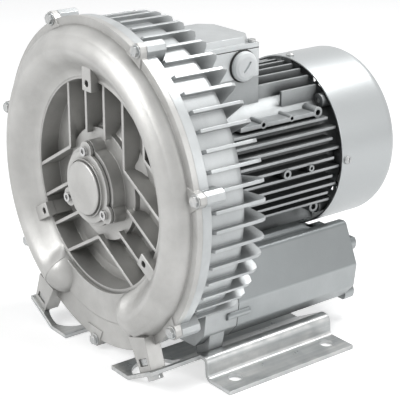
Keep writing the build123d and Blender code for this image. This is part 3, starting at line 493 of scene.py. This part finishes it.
def reshape_cover():
    """Draw the inner slope of the cover's bulge in to a hollow, away from the port divider."""
    tree = bpy.data.node_groups.new("cover_slope", "GeometryNodeTree")
    for way in ("INPUT", "OUTPUT"):
        tree.interface.new_socket("Geometry", in_out=way, socket_type="NodeSocketGeometry")

    def add(kind, settings=None, **inputs):
        return add_node(tree, kind, settings, **inputs)

    def calc(operation, a, b=0.0):
        return add("ShaderNodeMath", {"operation": operation}, i0=a, i1=b).outputs[0]

    def spread(value, low, high, to_low, to_high, kind="LINEAR"):
        return add("ShaderNodeMapRange", {"interpolation_type": kind}, i0=value, i1=low,
                   i2=high, i3=to_low, i4=to_high).outputs[0]

    def length(a, b):
        both = add("ShaderNodeCombineXYZ", i0=a, i1=b).outputs[0]
        return add("ShaderNodeVectorMath", {"operation": "LENGTH"}, i0=both).outputs["Value"]

    # Each vertex in the shaft's frame, and the height that the slope has at its radius
    start = tree.nodes.new("NodeGroupInput")
    here = add("GeometryNodeInputPosition").outputs[0]
    x, y, z = add("ShaderNodeSeparateXYZ", i0=here).outputs
    y = calc("SUBTRACT", y, FLANGE_Y)
    z = calc("SUBTRACT", z, SHAFT_Z)
    r = length(x, z)
    (first, low), (last, high) = SLOPE[0], SLOPE[-1]
    curve = add("ShaderNodeFloatCurve", i1=spread(r, first * MM, last * MM, 0.0, 1.0))
    line = curve.mapping.curves[0]
    for radius, height in SLOPE[1:-1]:
        line.points.new((radius - first) / (last - first), (height - low) / (high - low))
    curve.mapping.update()
    slope = spread(curve.outputs[0], 0.0, 1.0, low * MM, high * MM)

    # The outer face goes to the slope, the inner face stays a wall's thickness behind it
    from_line = length(calc("SUBTRACT", r, BULGE_R), calc("SUBTRACT", y, BULGE_Y))
    outside = calc("GREATER_THAN", from_line, CAVITY_R)
    behind = calc("MAXIMUM", y, calc("ADD", slope, SLOPE_WALL))
    target = calc("ADD", calc("MULTIPLY", outside, slope),
                  calc("MULTIPLY", calc("SUBTRACT", 1.0, outside), behind))
    from_bottom = calc("ABSOLUTE", calc("ARCTAN2", x, calc("MULTIPLY", z, -1.0)))
    weight = spread(from_bottom, *(math.radians(a) for a in SLOPE_FADE), 0.0, 1.0, "SMOOTHSTEP")
    moved = calc("MULTIPLY", calc("SUBTRACT", target, y), weight)
    chosen = calc("MULTIPLY", calc("LESS_THAN", y, SLOPE_END_Y),
                  calc("GREATER_THAN", r, first * MM))
    chosen = calc("MULTIPLY", chosen, calc("LESS_THAN", r, last * MM))

    fine = add("GeometryNodeSubdivideMesh", i0=start.outputs[0], i1=1)
    place = add("GeometryNodeSetPosition", i0=fine.outputs[0], i1=chosen,
                i3=add("ShaderNodeCombineXYZ", i1=moved).outputs[0])
    end = tree.nodes.new("NodeGroupOutput")
    tree.links.new(place.outputs[0], end.inputs[0])
    frame["nodes"]["front_cover"].modifiers.new("slope", "NODES").node_group = tree


# ------------------------------------------------------------------ studio

def white_where_seen(tree, seen, unseen):
    """The shader seen by camera, glossy and transmission rays, and unseen by the light itself."""
    path = tree.nodes.new("ShaderNodeLightPath")
    total = path.outputs["Is Camera Ray"]
    for name in ("Is Glossy Ray", "Is Transmission Ray"):
        total = add_node(tree, "ShaderNodeMath", {"operation": "MAXIMUM"}, i0=total,
                         i1=path.outputs[name]).outputs[0]
    return add_node(tree, "ShaderNodeMixShader", i0=total, i1=unseen, i2=seen).outputs[0]


def background(tree, colour, strength):
    return add_node(tree, "ShaderNodeBackground", Color=(*colour, 1.0),
                    Strength=strength).outputs[0]


def make_world():
    world = bpy.data.worlds.new("studio")
    world.use_nodes = True
    tree = world.node_tree
    seen = background(tree, WHITE, 1.0)
    unseen = background(tree, WORLD_TINT, WORLD_STRENGTH)
    out = tree.nodes["World Output"].inputs["Surface"]
    tree.links.new(white_where_seen(tree, seen, unseen), out)
    bpy.context.scene.world = world


def make_floor():
    """White paper: seen directly it is lifted to white, and it keeps the object's shadow."""
    bpy.ops.mesh.primitive_plane_add(size=FLOOR_SIZE, location=(0, 0, 0))
    floor = bpy.context.object
    floor.name = "studio_floor"
    paper = Shader("floor_paper", (*FLOOR_COLOUR, 1), 0.0, 0.9, Specular_IOR_Level=0.1)
    dull = paper.shader.outputs[0]
    glow = paper.add("Emission", Strength=FLOOR_LIFT).outputs[0]
    lifted = paper.add("AddShader", i0=dull, i1=glow).outputs[0]
    surface = white_where_seen(paper.tree, lifted, dull)
    paper.tree.links.new(surface, paper.tree.nodes["Material Output"].inputs["Surface"])
    floor.data.materials.append(paper.material)


def aim(thing, place, direction):
    """Stand a lamp or a camera at a place and point it in a direction."""
    bpy.context.scene.collection.objects.link(thing)
    thing.location = place
    thing.rotation_mode = "QUATERNION"
    thing.rotation_quaternion = Vector(direction).to_track_quat("-Z", "Y")


def make_lights():
    for name, place, size, power in LAMPS:
        data = bpy.data.lights.new(name, "AREA")
        data.shape = "DISK"
        data.size = size
        data.energy = power
        aim(bpy.data.objects.new(name, data), place, Vector(LIT_POINT) - Vector(place))


def make_camera():
    data = bpy.data.cameras.new("camera")
    data.sensor_width = SENSOR_MM
    data.lens = SENSOR_MM * FOCAL_PX / IMAGE_PX
    data.clip_start = CLIP_START
    camera = bpy.data.objects.new("camera", data)
    aim(camera, CAMERA_PLACE, CAMERA_AIM)
    bpy.context.scene.camera = camera


# ------------------------------------------------------------------ put together

dress_nodes()
reshape_cover()
add_tabs()
add_recess_steps()
add_washers()
add_motor_pad()
add_silencer_details()
add_plug_rings()
make_floor()
make_world()
make_lights()
make_camera()
bpy.context.scene.view_settings.view_transform = "Standard"
